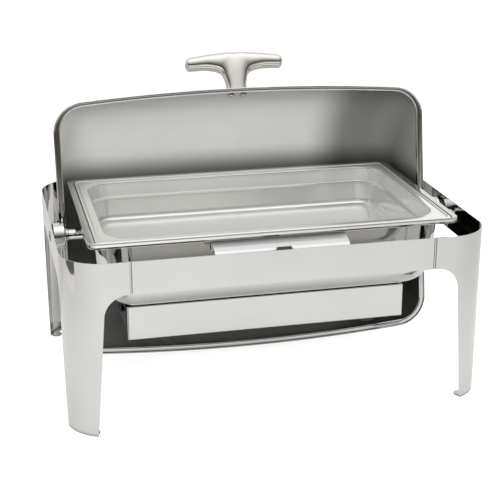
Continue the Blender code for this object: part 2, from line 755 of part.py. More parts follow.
def pivot_rod(name, side):
    """The stepped rod from the frame's wall, through the lid's collar, to the water pan's lug."""
    shoulder = COLLAR_INNER_X - GAP
    end = FRAME_X - FRAME_SHEET - GAP
    profile = [
        (side * (LUG_X[0] + GAP), 0.0),
        (side * (LUG_X[0] + GAP), STUD_R),
        (side * (LUG_X[1] + GAP), STUD_R),
        (side * (LUG_X[1] + GAP), ROD_R),
        (side * (shoulder - 5 * MM), ROD_R),
        (side * (shoulder - 4 * MM), ROD_R + 1.5 * MM),
        (side * shoulder, ROD_R + 1.5 * MM),
        (side * shoulder, PIN_R),
        (side * end, PIN_R),
        (side * end, END_SCREW_R + GAP),
        (side * (end - 14 * MM), END_SCREW_R + GAP),
        (side * (end - 14 * MM), 0.0),
    ]
    bm = turned(profile, 20)
    bmesh.ops.translate(bm, verts=bm.verts, vec=(0.0, 0.0, AXIS_Z))
    return add_object(f"pivot_rod_{name}", bm, polished(f"pivot_rod_{name}"))


def pivot_screw(name, side):
    """A low-headed screw from outside the frame into the end of the pivot rod."""
    under = FRAME_X + GAP
    profile = [
        (side * (FRAME_X - 13 * MM), 0.0),
        (side * (FRAME_X - 13 * MM), END_SCREW_R),
        (side * under, END_SCREW_R),
        (side * under, END_HEAD_R),
        (side * (under + 0.6 * MM), END_HEAD_R),
        (side * (under + 1.5 * MM), END_HEAD_R * 0.7),
        (side * (under + 1.7 * MM), 0.0),
    ]
    bm = turned(profile, 20)
    bmesh.ops.translate(bm, verts=bm.verts, vec=(0.0, 0.0, AXIS_Z))
    return add_object(f"pivot_screw_{name}", bm, polished(f"pivot_screw_{name}"))


def pan_lug(name, side):
    """A disc on the water pan's end wall that the pivot rod screws into."""
    profile = [
        (side * LUG_X[0], STUD_R + GAP),
        (side * LUG_X[1], STUD_R + GAP),
        (side * LUG_X[1], LUG_R - 1 * MM),
        (side * (LUG_X[1] - 1 * MM), LUG_R),
        (side * LUG_X[0], LUG_R),
    ]
    bm = turned(profile, 20)
    bmesh.ops.translate(bm, verts=bm.verts, vec=(0.0, 0.0, AXIS_Z))
    return add_object(f"pan_lug_{name}", bm, satin(f"pan_lug_{name}"))


def lid_handle(axis):
    """T handle: an arched cross bar that flares down into a flat oval column."""
    half_depth = 14.0 * MM
    column = [(0.0, 17.8 * MM), (3.0 * MM, 17.3 * MM), (12.5 * MM, 16.6 * MM), (25.0 * MM, 20.0 * MM)]
    crown = 69.8 * MM
    stations = [
        (24.0 * MM, 32.6 * MM, 68.7 * MM),
        (44.5 * MM, 38.9 * MM, 66.7 * MM),
        (70.1 * MM, 37.2 * MM, 62.4 * MM),
        (80.8 * MM, 38.0 * MM, 61.0 * MM),
    ]
    bm = bmesh.new()
    cells = []
    for (z0, w0), (z1, w1) in zip(column, column[1:]):
        cells.append([(-w0, z0), (0.0, z0), (0.0, z1), (-w1, z1)])
        cells.append([(0.0, z0), (w0, z0), (w1, z1), (0.0, z1)])
    shoulder_z, shoulder_w = column[-1]
    for sign in (-1, 1):
        near_x, near_low, near_top = stations[0]
        cells.append([(0.0, shoulder_z), (sign * shoulder_w, shoulder_z), (sign * near_x, near_low), (0.0, crown)])
        cells.append([(0.0, crown), (sign * near_x, near_low), (sign * near_x, near_top)])
        for (x0, l0, t0), (x1, l1, t1) in zip(stations, stations[1:]):
            cells.append([(sign * x0, l0), (sign * x1, l1), (sign * x1, t1), (sign * x0, t0)])
    faces = []
    for cell in cells:
        faces.append(bm.faces.new([bm.verts.new((x, -half_depth, z)) for x, z in cell]))
    bmesh.ops.remove_doubles(bm, verts=bm.verts, dist=1e-6)
    bmesh.ops.recalc_face_normals(bm, faces=bm.faces)
    out = bmesh.ops.extrude_face_region(bm, geom=list(bm.faces), use_keep_orig=True)
    moved = [v for v in out["geom"] if isinstance(v, bmesh.types.BMVert)]
    bmesh.ops.translate(bm, verts=moved, vec=(0.0, 2 * half_depth, 0.0))
    crease = bm.edges.layers.float.new("crease_edge")
    for edge in bm.edges:
        if all(abs(v.co.z) < 1e-6 for v in edge.verts):
            edge[crease] = 1.0
    bmesh.ops.recalc_face_normals(bm, faces=bm.faces)
    bmesh.ops.translate(bm, verts=bm.verts, vec=(0.0, 0.0, HANDLE_BASE))
    bm.transform(handle_frame())
    handle = add_object("lid_handle", bm, polished("lid_handle"), axis)
    smooth = handle.modifiers.new("rounding", "SUBSURF")
    smooth.levels = 2
    smooth.render_levels = 2
    for label, side in SIDES.items():
        bore = prism(circle(SCREW_R + GAP, 10, (side * SCREW_HALF_PITCH, 0.0)), "Z", LID_R - 13 * MM, BORE_END)
        bore.transform(handle_frame())
        combine(handle, add_helper(f"cut_bore_{label}", bore, axis), "DIFFERENCE")
    return handle


def handle_screw(name, side, axis):
    """A pan-head screw from inside the lid into the handle's foot."""
    top = LID_R - LID_SHEET - 1.9 * MM
    profile = [
        (top - SCREW_HEAD, 0.0),
        (top - SCREW_HEAD, SCREW_HEAD_R * 0.6),
        (top - SCREW_HEAD * 0.6, SCREW_HEAD_R * 0.9),
        (top, SCREW_HEAD_R),
        (top, SCREW_R),
        (BORE_END - 1 * MM, SCREW_R),
        (BORE_END - 1 * MM, 0.0),
    ]
    bm = turned(profile, 12)
    bm.transform(Matrix.Rotation(-math.pi / 2, 4, "Y"))
    bmesh.ops.translate(bm, verts=bm.verts, vec=(side * SCREW_HALF_PITCH, 0.0, 0.0))
    bm.transform(handle_frame())
    return add_object(f"handle_screw_{name}", bm, polished(f"handle_screw_{name}"), axis)


def shelf_rail(name, side):
    """A channel under the water pan: top flange on the pan, web down, bottom flange inwards."""
    top = WATER_BOTTOM - GAP
    low = TRAY_HIGH - SHELF_SHEET - GAP - RAIL_SHEET
    path = [
        (RAIL_FOOT_X, top),
        (RAIL_X, top),
        (RAIL_X, low),
        (RAIL_FLANGE_X, low),
    ]
    path = [(side * x, z) for x, z in path]
    if side > 0:
        path = list(reversed(path))
    bm = sheet_along(path, "Y", RAIL_Y[0], RAIL_Y[1], RAIL_SHEET)
    return add_object(f"shelf_rail_{name}", bm, blackened(f"shelf_rail_{name}"))


def open_box(low, high, missing):
    """A box without the face whose normal is given."""
    bm = box(low, high)
    bmesh.ops.recalc_face_normals(bm, faces=bm.faces)
    bm.normal_update()
    gone = [f for f in bm.faces if f.normal.dot(Vector(missing)) > 0.9]
    bmesh.ops.delete(bm, geom=gone, context="FACES")
    return bm


def add_sheet(obj, thickness):
    solidify = obj.modifiers.new("sheet", "SOLIDIFY")
    solidify.thickness = thickness
    solidify.offset = -1
    solidify.use_even_offset = True


def shelf_facing():
    """The shelf's front: a shallow pressing with all four edges turned back."""
    low = (-SHELF_X, SHELF_FRONT, SHELF_LOW)
    high = (SHELF_X, SHELF_FRONT + FACING_DEPTH, SHELF_HIGH)
    bm = open_box(low, high, (0, 1, 0))
    facing = add_object("shelf_facing", bm, polished("shelf_facing"))
    bevel = facing.modifiers.new("bends", "BEVEL")
    bevel.width = 1.8 * MM
    bevel.segments = 2
    bevel.limit_method = "ANGLE"
    add_sheet(facing, SHELF_SHEET)
    return facing


def shelf_tray():
    """The tray behind the facing, with a lip along each side that runs on the rails."""
    inset = SHELF_SHEET + 3 * GAP
    low = (-SHELF_X + inset, SHELF_FRONT + inset, SHELF_LOW + inset)
    high = (SHELF_X - inset, SHELF_BACK, TRAY_HIGH)
    tray = add_object("shelf_tray", open_box(low, high, (0, 0, 1)), satin("shelf_tray"))
    add_sheet(tray, SHELF_SHEET)
    for label, side in SIDES.items():
        xs = sorted((side * (SHELF_X - inset - 0.6 * MM), side * LIP_X))
        lip_low = (xs[0], SHELF_FRONT + FACING_DEPTH + 2 * MM, TRAY_HIGH - SHELF_SHEET)
        lip_high = (xs[1], SHELF_BACK - 1 * MM, TRAY_HIGH + 0.1 * MM)
        combine(tray, add_helper(f"add_lip_{label}", box(lip_low, lip_high)), "UNION")
    return tray


def shelf_button(name, side, end):
    """A rubber button under the shelf."""
    under_facing = SHELF_LOW - GAP
    under_tray = SHELF_LOW + SHELF_SHEET + GAP
    top = under_facing if end < 0 else under_tray
    low = under_facing - BUTTON_HEIGHT
    y = SHELF_FRONT + 15 * MM if end < 0 else SHELF_BACK - 15 * MM
    profile = [
        (low, 0.0),
        (low, BUTTON_R - 1.2 * MM),
        (low + 1.2 * MM, BUTTON_R),
        (top, BUTTON_R),
        (top, 0.0),
    ]
    bm = turned(profile, 16)
    bm.transform(Matrix.Rotation(-math.pi / 2, 4, "Y"))
    bmesh.ops.translate(bm, verts=bm.verts, vec=(side * BUTTON_X, y, 0.0))
    return add_object(name, bm, rubber(name))


def pin_spot(side):
    return Vector((side * CUP_X, CUP_Y + CUP_PIN_REACH, 0.0))


def ear_outline(centre, spot, half_width):
    """A tongue from inside a round piece to past the swivel pin."""
    outline = [(centre.x + half_width, centre.y + CUP_R - 4 * MM)]
    outline += arc((spot.x, spot.y), half_width, 0, 180, 6)
    outline.append((centre.x - half_width, centre.y + CUP_R - 4 * MM))
    return outline


def burner_cup(name, side):
    """A fuel cup with a rolled top and an ear for the cover's pin."""
    centre = Vector((side * CUP_X, CUP_Y, 0.0))
    floor = SHELF_LOW + 2 * SHELF_SHEET + 4 * GAP
    t = SHELF_SHEET
    profile = [
        (floor, 0.0),
        (floor, CUP_R - 3 * MM),
        (floor + 3 * MM, CUP_R),
        (CUP_TOP - 2.5 * MM, CUP_R),
        (CUP_TOP - 1.2 * MM, CUP_R + 1.6 * MM),
        (CUP_TOP, CUP_R),
        (CUP_TOP - 1.2 * MM, CUP_R - t),
        (floor + 3 * MM, CUP_R - t),
        (floor + t, CUP_R - 3 * MM),
        (floor + t, 0.0),
    ]
    bm = turned(profile, 24)
    bm.transform(Matrix.Rotation(-math.pi / 2, 4, "Y"))
    bmesh.ops.translate(bm, verts=bm.verts, vec=centre)
    cup = add_object(f"burner_cup_{name}", bm, satin(f"burner_cup_{name}"))
    spot = pin_spot(side)
    outline = ear_outline(centre, spot, 5 * MM)
    outline[0] = (outline[0][0], centre.y + CUP_R - 0.5 * MM)
    outline[-1] = (outline[-1][0], centre.y + CUP_R - 0.5 * MM)
    ear = prism(outline, "Z", CUP_TOP - 4.4 * MM, CUP_TOP - 2.8 * MM)
    combine(cup, add_helper(f"add_cup_ear_{name}", ear), "UNION")
    hole = prism(circle(CUP_PIN_R + GAP, 10, (spot.x, spot.y)), "Z", CUP_TOP - 8 * MM, CUP_TOP + 2 * MM)
    combine(cup, add_helper(f"cut_cup_ear_{name}", hole), "DIFFERENCE")
    return cup


def burner_cover(name, side, pivot):
    """A flat cover that swings on the cup's pin, with a finger tab opposite the pin."""
    centre = Vector((0.0, -CUP_PIN_REACH, 0.0))
    low = CUP_TOP + 2 * GAP
    high = low + 1.4 * MM
    cover = add_object(
        f"burner_cover_{name}",
        prism(circle(CUP_R + 1.5 * MM, 24, (centre.x, centre.y)), "Z", low, high),
        satin(f"burner_cover_{name}"),
        pivot,
    )
    ear = prism(ear_outline(centre, Vector((0.0, 0.0, 0.0)), 5 * MM), "Z", low + 0.1 * MM, high - 0.1 * MM)
    combine(cover, add_helper(f"add_cover_ear_{name}", ear, pivot), "UNION")
    tab = box(
        (-8 * MM, centre.y - CUP_R - 12 * MM, low + 0.1 * MM),
        (8 * MM, centre.y - CUP_R + 4 * MM, high - 0.1 * MM),
    )
    combine(cover, add_helper(f"add_cover_tab_{name}", tab, pivot), "UNION")
    hole = prism(circle(CUP_PIN_R + GAP, 10), "Z", low - 2 * MM, high + 2 * MM)
    combine(cover, add_helper(f"cut_cover_{name}", hole, pivot), "DIFFERENCE")
    return cover


def burner_pin(name, side):
    """The rivet that the cover swings on."""
    head = CUP_PIN_R + 1.6 * MM
    under = CUP_TOP - 4.4 * MM - GAP
    over = CUP_TOP + 2 * GAP + 1.4 * MM + GAP
    profile = [
        (under - 1.4 * MM, 0.0),
        (under - 1.4 * MM, head),
        (under, head),
        (under, CUP_PIN_R),
        (over, CUP_PIN_R),
        (over, head),
        (over + 1.4 * MM, head * 0.6),
        (over + 1.4 * MM, 0.0),
    ]
    bm = turned(profile, 10)
    bm.transform(Matrix.Rotation(-math.pi / 2, 4, "Y"))
    bmesh.ops.translate(bm, verts=bm.verts, vec=pin_spot(side))
    return add_object(f"burner_pin_{name}", bm, satin(f"burner_pin_{name}"))


def build_stand():
    for name, side in SIDES.items():
        frame_end(name, side)
        pivot_rod(name, side)
        pivot_screw(name, side)
        pan_lug(name, side)
        shelf_rail(name, side)
        for place, end in ENDS.items():
            foot_plate(f"foot_{place}_{name}", side, end)
    for name, end in ENDS.items():
        frame_band(name, end)
    support_ledge()
    lid_bumper()
    water_pan()


def build_lid():
    axis = add_empty("lid_axis", (0.0, 0.0, AXIS_Z), -OPEN_ANGLE)
    lid_shell(axis)
    lid_handle(axis)
    for name, side in SIDES.items():
        hinge_arm(name, side, axis)
        hinge_bush(name, side, axis)
        handle_screw(name, side, axis)
        for place, spot in zip(("front", "rear"), RIVET_SPOTS):
            hinge_rivet(f"hinge_rivet_{place}_{name}", side, spot, axis)


def build_shelf():
    shelf_facing()
    shelf_tray()
    for name, side in SIDES.items():
        for place, end in ENDS.items():
            shelf_button(f"shelf_button_{place}_{name}", side, end)
        burner_cup(name, side)
        burner_pin(name, side)
        spot = pin_spot(side)
        burner_cover(name, side, add_empty(f"cover_axis_{name}", spot))


clear_scene()
build_stand()
food_pan()
build_lid()
build_shelf()
bpy.context.view_layer.update()
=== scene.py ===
"""Looks of the roll-top chafing dish.

Finer pressed-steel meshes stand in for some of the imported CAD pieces, every surface gets a procedural
finish, and a pale studio and the photo's camera are set up round the dish.
"""

import json
import math
from collections import Counter

import bmesh
import bpy
from mathutils import Matrix, Vector


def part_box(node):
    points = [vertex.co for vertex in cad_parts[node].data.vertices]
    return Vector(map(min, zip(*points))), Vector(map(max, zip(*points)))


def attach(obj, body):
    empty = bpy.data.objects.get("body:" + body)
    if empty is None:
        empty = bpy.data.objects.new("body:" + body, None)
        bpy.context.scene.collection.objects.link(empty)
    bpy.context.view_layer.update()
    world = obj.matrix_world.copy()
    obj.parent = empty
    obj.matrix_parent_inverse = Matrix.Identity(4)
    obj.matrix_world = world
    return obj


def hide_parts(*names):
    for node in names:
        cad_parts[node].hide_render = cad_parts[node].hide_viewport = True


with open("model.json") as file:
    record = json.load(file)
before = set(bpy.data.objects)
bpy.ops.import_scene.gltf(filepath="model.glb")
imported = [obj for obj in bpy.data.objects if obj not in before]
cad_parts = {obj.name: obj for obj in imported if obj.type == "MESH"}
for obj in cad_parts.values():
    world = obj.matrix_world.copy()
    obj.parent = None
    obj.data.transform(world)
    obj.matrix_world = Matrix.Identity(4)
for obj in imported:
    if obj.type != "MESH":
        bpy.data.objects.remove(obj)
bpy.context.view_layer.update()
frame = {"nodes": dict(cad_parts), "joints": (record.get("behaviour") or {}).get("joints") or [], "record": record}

MM = 0.001
SIDES = {"left": -1, "right": 1}
JOINTS = {joint["name"]: joint for joint in frame["joints"]}
NODES = frame["nodes"]

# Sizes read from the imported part.
END_LOW, END_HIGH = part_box("frame_end_right")
FRAME_X = END_HIGH.x
FRAME_Y = END_HIGH.y
FRAME_TOP = END_HIGH.z
SEAM_X = END_LOW.x
BAND_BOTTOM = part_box("front_band")[0].z
PAN_LOW, PAN_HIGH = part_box("food_pan")
RIM_X = PAN_HIGH.x
RIM_Y = (PAN_HIGH.y - PAN_LOW.y) / 2
RIM_TOP = PAN_HIGH.z
PAN_Y = (PAN_HIGH.y + PAN_LOW.y) / 2
PAN_SHEET = 0.8 * MM
PAN_FLOOR = PAN_LOW.z + PAN_SHEET
WELL_LOW, WELL_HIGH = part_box("water_pan")
WELL_X = WELL_HIGH.x
WATER_BOTTOM = WELL_LOW.z
AXIS = Vector(JOINTS["lid_roll"]["pos_m"])
OPEN_ANGLE = math.radians(JOINTS["lid_roll"]["range_deg"][1])

# Frame sheet. A leg's edge is given where its arch ends and where it meets the floor.
FRAME_SHEET = 1.2 * MM
FRAME_EDGE = 0.3 * MM
CORNER_R = 65.0 * MM
CORNER_X = FRAME_X - CORNER_R
CORNER_Y = FRAME_Y - CORNER_R
LEG_EDGE_X = (262.1 * MM, 276.6 * MM)
LEG_EDGE_Y = (153.9 * MM, 168.5 * MM)
ARCH_R = 34.3 * MM
END_MIDDLE_Y = 40.0 * MM
BAND_STEPS = 4
ARCH_STEPS = 20
LEG_EDGE_STEPS = 8
LEG_STEPS = 14

# Pans.
RIM_CORNER = 7.0 * MM
RIM_DEPTH = 4.8 * MM
RIM_SEAT = RIM_TOP - RIM_DEPTH - 0.3 * MM
OPENING_X = 250.0 * MM
OPENING_Y = 147.5 * MM
PAN_FLANGE = RIM_TOP - 0.8 * MM
PAN_LEDGE = 252.6 * MM
BORDER_GAP = 1.0 * MM
WELL_TOP = 279.0 * MM
WELL_SKIRT = 271.2 * MM
WELL_CORNER = 14.0 * MM
WATER_X = 261.9 * MM
WATER_Y = 152.0 * MM
WATER_CORNER = 53.0 * MM
WATER_CORNER_LOSS = 0.83
WATER_BOTTOM_R = 44.0 * MM
WATER_DRAFT = 0.065
WATER_BEND_STEPS = 18
WALL_TOP = 271.0 * MM
WALL_TOP_STEP = 2.0 * MM
PAN_STEPS = 20
PAN_CURVE_STEPS = 4
BEAD_STEPS = 3

# The water pan's rolled outer edge, as (inset from its border, height above WELL_TOP) in mm.
BORDER_ROLL = ((0.0, -1.2), (0.12, -0.7), (0.4, -0.25), (1.0, 0.0))

# Its inner edge round the food pan's rim, as (reach past the gap, added corner radius, height above
# WELL_TOP) in mm.
INNER_ROLL = ((1.4, 1.0, 0.0), (0.9, 0.8, 0.3), (0.5, 0.5, 0.4), (0.1, 0.2, 0.1), (0.0, 0.0, -0.6))

# The food pan's inside downwards, as (inset from its opening, corner radius, height above the level) in mm.
PAN_WALL = (
    (PAN_FLANGE, ((0.0, 41.6, 0.0), (1.1, 41.0, -0.4), (1.8, 40.6, -1.3), (2.4, 40.2, -3.6))),
    (PAN_LEDGE, ((3.2, 39.2, 4.6), (3.5, 39.0, 2.6), (4.3, 38.5, 1.4), (6.4, 37.4, -0.1))),
    (PAN_LEDGE, ((7.4, 36.6, -1.1), (7.9, 36.0, -2.8))),
    (PAN_FLOOR, ((11.0, 33.0, 15.0), (12.3, 31.4, 8.6), (14.6, 29.4, 4.0), (18.6, 26.0, 1.3))),
    (PAN_FLOOR, ((26.0, 20.0, 0.0),)),
)

# The food pan's rim as (reach past its edge, height above the level) in mm: its underside, then its bead
# inwards.
RIM_UNDER = (
    (PAN_FLANGE, ((-5.0, -1.4),)),
    (RIM_TOP, ((-3.0, -1.0), (-0.8, -1.5))),
    (RIM_TOP - RIM_DEPTH, ((-0.8, 0.2), (-0.2, 0.0), (0.0, 0.6))),
)
RIM_BEAD = (
    (RIM_TOP, ((0.0, -1.6), (-0.2, -0.8), (-0.8, -0.2), (-1.8, 0.0), (-3.0, -0.12), (-3.9, -0.5))),
    (PAN_FLANGE, ((-4.6, -0.7), (-5.3, -0.75), (-6.0, -0.2), (-6.8, 0.0))),
)

# Lid, drawn closed about its axis. A tuck draws its skin in towards the rims.
LID_X = 291.0 * MM
LID_R = 211.3 * MM
LID_BOW = 13.8 * MM
LID_CORNER = 41.6 * MM
LID_SHEET = 1.0 * MM
LID_RIM_W = 26.0 * MM
LID_DRAFT = 0.03
LID_TUCK = 0.045
LID_TUCK_SPAN = 0.2
LID_COLUMNS = 96
BARREL_STEPS = 20
LID_CORNER_STEPS = 18
LID_WALL_STEPS = 8
APEX_TOLERANCE = 1.000001
FRONT_TUCK = 0.028
FRONT_TUCK_R = (120.0 * MM, 190.0 * MM)

# The flange round the lid's opening, as (reach outwards, height) in mm. At the front it's FRONT_FLANGE
# times as wide.
FRONT_FLANGE = 0.7
TIGHTEST_MITRE = 0.7
FLANGE_SECTION = (
    (-1.3, 6.0), (-1.3, 2.4), (-1.1, 1.2), (-0.4, 0.4), (0.6, 0.05), (1.4, 0.0), (5.1, 0.0), (5.5, 0.15),
    (5.8, 0.7), (6.1, 0.6), (6.3, -0.1), (6.8, -0.6), (7.6, -0.8), (8.4, -0.5), (8.9, 0.2), (9.0, 1.1),
    (8.7, 2.1), (8.0, 2.7), (6.8, 2.8), (6.0, 1.8), (1.2, 1.6), (0.3, 2.6), (0.3, 6.0),
)

# Handle cage, before it's rounded: its column as (height, half width) and an arm as (x, underside, top).
HANDLE_ANGLE = math.radians(19.0)
HANDLE_BASE = LID_R + 0.5 * MM
HANDLE_HALF_DEPTH = 14.0 * MM
HANDLE_CROWN = 69.8 * MM
HANDLE_COLUMN = ((0.0, 17.8 * MM), (3.0 * MM, 17.3 * MM), (12.5 * MM, 16.6 * MM), (25.0 * MM, 20.0 * MM))
HANDLE_ARM = (
    (24.0 * MM, 32.6 * MM, 68.7 * MM),
    (44.5 * MM, 38.9 * MM, 66.7 * MM),
    (70.1 * MM, 37.2 * MM, 62.4 * MM),
    (80.8 * MM, 38.0 * MM, 61.0 * MM),
)
HANDLE_ROUNDING = 4

# Collars and arms.
COLLAR_R = 19.2 * MM
COLLAR_X = (294.3 * MM, 313.0 * MM)
COLLAR_BORE = 9.7 * MM
COLLAR_CHAMFER = 1.5 * MM
COLLAR_STEPS = 72
ARM_X = 300.3 * MM
ARM_SHEET = 2.5 * MM
ARM_EDGE = 0.4 * MM
ARM_SUNK = 2.0 * MM
ARM_GAP = 0.3 * MM
ARM_HALF_WIDTH = 17.7 * MM
ARM_JOG = (35.4 * MM, 45.8 * MM)
ARM_TOP = 85.3 * MM

# Shading: lengths in metres, angles in degrees.
WELD = 1e-7
CAGE_WELD = 1e-6
PIECE_SHARP = 30.0
CAD_SHARP = 32
ALL_SMOOTH = 180.0
EDGE_SEGMENTS = 2
EDGE_ANGLE = 35.0

# Finishes. Noise scales are in cells a metre.
BRIGHT = (0.645, 0.64, 0.622)
TONE_SCALE = 9.0
SMUDGE_SCALE = 38.0
WAVE_SCALE = 7.0
STREAKS = 0.25
# Painted shade in seams and narrow gaps: how far the occlusion looks, the range it maps and how dark it gets.
CREVICE_SHADE_REACH = 8.0 * MM
CREVICE_SHADE_AO = (0.35, 0.78)
CREVICE_SHADE_TONE = 0.06

# Painted shade on the lid's lining, as (axis, where that starts and ends, what is left of its tone): low down by
# the pans, along its top edge, and a painted dark reflection towards its right end.
LINING_PAINTED_SHADE = (
    ("Z", (0.314, 0.266), 0.22),
    ("Z", (0.375, 0.445), 0.58),
    ("X", (0.135, 0.215), 0.32),
)

# A steel's rough is its range of roughness, brush the scale of its grain along X, Y and Z, wave and grain
# bump heights in mm and tone how far its colour varies.
STEELS = {
    "polished_steel": dict(
        colour=BRIGHT, rough=(0.03, 0.06), brush=(25.0, 25.0, 1800.0), wave=0.2, tone=0.025, grain=0.0015),
    "lid_steel": dict(
        colour=BRIGHT, rough=(0.03, 0.08), brush=(25.0, 900.0, 900.0), wave=0.3, tone=0.03, grain=0.003),
    "lid_lining": dict(
        colour=(0.79, 0.79, 0.762), rough=(0.36, 0.43), brush=(60.0, 2600.0, 2600.0), wave=0.3, tone=0.03,
        grain=0.006, metallic=0.35, shade_bands=LINING_PAINTED_SHADE),
    "pan_steel": dict(
        colour=(0.74, 0.74, 0.722), rough=(0.17, 0.19), brush=(1300.0, 60.0, 900.0), wave=0.04, tone=0.012,
        grain=0.0003, metallic=0.84),
    "ledge_steel": dict(
        colour=(0.48, 0.48, 0.477), rough=(0.12, 0.20), brush=(20.0, 900.0, 900.0), wave=0.2, tone=0.02,
        grain=0.003, metallic=0.55),
    "satin_steel": dict(
        colour=(0.55, 0.55, 0.54), rough=(0.26, 0.36), brush=(30.0, 1200.0, 1200.0), wave=0.2, tone=0.06,
        grain=0.01),
    # dark_steel is near-black: painted shade and dark reflection standing in on the shelf's rails under the water
    # pan.
    "dark_steel": dict(
        colour=(0.035, 0.034, 0.032), rough=(0.34, 0.46), brush=(30.0, 900.0, 900.0), wave=0.1, tone=0.2,
        grain=0.02),
    "chrome": dict(
        colour=(0.64, 0.625, 0.60), rough=(0.02, 0.04), brush=(400.0, 400.0, 400.0), wave=0.1, tone=0.02,
        grain=0.003),
}
MOULDED = {
    "rubber": dict(colour=(0.012, 0.012, 0.0125), rough=(0.45, 0.65), pits=2600.0, depth=0.06),
    "nylon": dict(colour=(0.62, 0.60, 0.55), rough=(0.38, 0.55), pits=1600.0, depth=0.03),
}

# Floor. It glows for the camera, and up to MIRRORED_GLOW near the dish for what mirrors it.
FLOOR_REACH = 12.0
FLOOR_TONE = (0.44, 0.44, 0.437)
FLOOR_ROUGH = 0.85
CAMERA_GLOW = 0.7
MIRRORED_GLOW = 0.16
GLOW_RADII = (0.45, 0.95)

# Cards that lie on the floor left of the dish, as (plan corners, colour). They only show in metal.
CARD_HEIGHT = 0.002
CARD_ROUGH = 0.8
CARDS = {
    "dark_left": (((-1.7, -0.32), (-0.96, -0.24), (-0.96, 0.12), (-1.7, 0.5)), (0.07, 0.065, 0.06)),
    "grey_edge": (((-0.96, -0.24), (-0.86, -0.20), (-0.86, 0.08), (-0.96, 0.12)), (0.5, 0.49, 0.47)),
    "grey_left": (((-1.1, 0.24), (-0.33, 0.24), (-0.33, 1.6), (-1.1, 1.6)), (0.42, 0.41, 0.39)),
}

# World. SKY lights the dish, and metal mirrors the stops, which run from straight down, 0, past the horizon,
# 0.5, to straight up, 1. Behind the dish they turn white, fully where a direction's Y is WHITE_BEHIND.
WHITE = (1.0, 1.0, 0.99)
ROOM = (0.10, 0.085, 0.07)
SKY = (1.2, 1.2, 1.2)
MIRRORED_STOPS = (
    (0.0, WHITE),
    (0.49, WHITE),
    (0.505, (0.42, 0.41, 0.40)),
    (0.53, ROOM),
    (0.60, ROOM),
    (0.76, (0.50, 0.49, 0.47)),
    (1.0, (1.8, 1.8, 1.8)),
)
WHITE_BEHIND = 0.4

# Lights, as (place, aimed at, size, watts).
LIGHTS = {
    "key": ((-0.7, -2.6, 1.2), (0.0, 0.1, 0.33), (1.8, 1.0), 75.0),
    "top": ((0.0, -0.6, 2.4), (0.0, 0.0, 0.25), (2.2, 1.6), 40.0),
}

# The photo's camera, solved from the pan's rim.
CAMERA_AT = (-0.42044, -1.76390, 0.82260)
CAMERA_YAW = 0.2326
CAMERA_PITCH = 0.3361
CAMERA_LENS = 86.48
CAMERA_SENSOR = 36.0


# ---------------------------------------------------------------- node materials


class Graph:
    """Adds nodes to a node tree."""

    def __init__(self, tree):
        self.tree = tree
        self.coord = tree.nodes.new("ShaderNodeTexCoord")

    def feed(self, socket, value):
        """Links an output to a socket, or sets the socket to a number, a vector or a colour."""
        if isinstance(value, bpy.types.NodeSocket):
            self.tree.links.new(value, socket)
        elif socket.type == "RGBA":
            socket.default_value = (*value, 1.0)
        else:
            socket.default_value = value

    def node(self, kind, inputs, **settings):
        made = self.tree.nodes.new(kind)
        for key, value in settings.items():
            setattr(made, key, value)
        for key, value in inputs.items():
            self.feed(made.inputs[key], value)
        return made

    def noise(self, scale, detail=3.0, roughness=0.5):
        """Noise in object space; scale is one number or one per axis."""
        scales = scale if isinstance(scale, tuple) else (scale, scale, scale)
        mapping = self.node("ShaderNodeMapping", {"Vector": self.coord.outputs["Object"], "Scale": scales})
        inputs = {"Vector": mapping.outputs["Vector"], "Scale": 1.0}
        inputs.update({"Detail": detail, "Roughness": roughness})
        return self.node("ShaderNodeTexNoise", inputs).outputs["Fac"]

    def ranged(self, value, low, high, from_low=0.3, from_high=0.7, **settings):
        """A value mapped to another range; most of a noise lies between 0.3 and 0.7."""
        inputs = {"Value": value, "From Min": from_low, "From Max": from_high}
        inputs.update({"To Min": low, "To Max": high})
        return self.node("ShaderNodeMapRange", inputs, **settings).outputs["Result"]

    def math(self, operation, a, b):
        return self.node("ShaderNodeMath", {0: a, 1: b}, operation=operation).outputs[0]

    def mixed(self, factor, a, b, blend="MIX"):
        inputs = {"Factor": factor, "A": a, "B": b}
        return self.node("ShaderNodeMix", inputs, data_type="RGBA", blend_type=blend).outputs["Result"]

    def axes(self, vector):
        return self.node("ShaderNodeSeparateXYZ", {"Vector": vector}).outputs


class Finish(Graph):
    """A material with one Principled shader."""

    def __init__(self, name, colour):
        self.mat = bpy.data.materials.new(name)
        self.mat.use_nodes = True
        self.mat.diffuse_color = (*colour, 1.0)
        super().__init__(self.mat.node_tree)
        self.shader = self.tree.nodes["Principled BSDF"]

    def surface(self, values):
        for key, value in values.items():
            self.feed(self.shader.inputs[key], value)

    def bump(self, height, distance, **under):
        """Bump from a height, over the normal given as Normal if there is one."""
        inputs = {"Height": height, "Distance": distance, "Strength": 1.0, **under}
        return self.node("ShaderNodeBump", inputs).outputs["Normal"]


def scaled(colour, factor):
    return tuple(min(1.0, c * factor) for c in colour)


def painted_crevice_shade(g, colour):
    """Painted shade: darkens a colour in seams and narrow gaps, where ambient occlusion finds other surfaces
    close.
    """
    depth = g.node("ShaderNodeAmbientOcclusion", {"Distance": CREVICE_SHADE_REACH}, samples=6, only_local=False)
    return g.mixed(1.0, colour, g.ranged(depth.outputs["AO"], CREVICE_SHADE_TONE, 1.0, *CREVICE_SHADE_AO), "MULTIPLY")


def painted_shade_bands(g, colour, shade_bands):
    """Painted shade: darkens a colour in bands along an axis."""
    for axis, (start, stop), left in shade_bands:
        place = g.axes(g.coord.outputs["Object"])[axis]
        fade = g.ranged(place, 1.0, left, start, stop, interpolation_type="SMOOTHSTEP")
        colour = g.mixed(1.0, colour, fade, "MULTIPLY")
    return colour


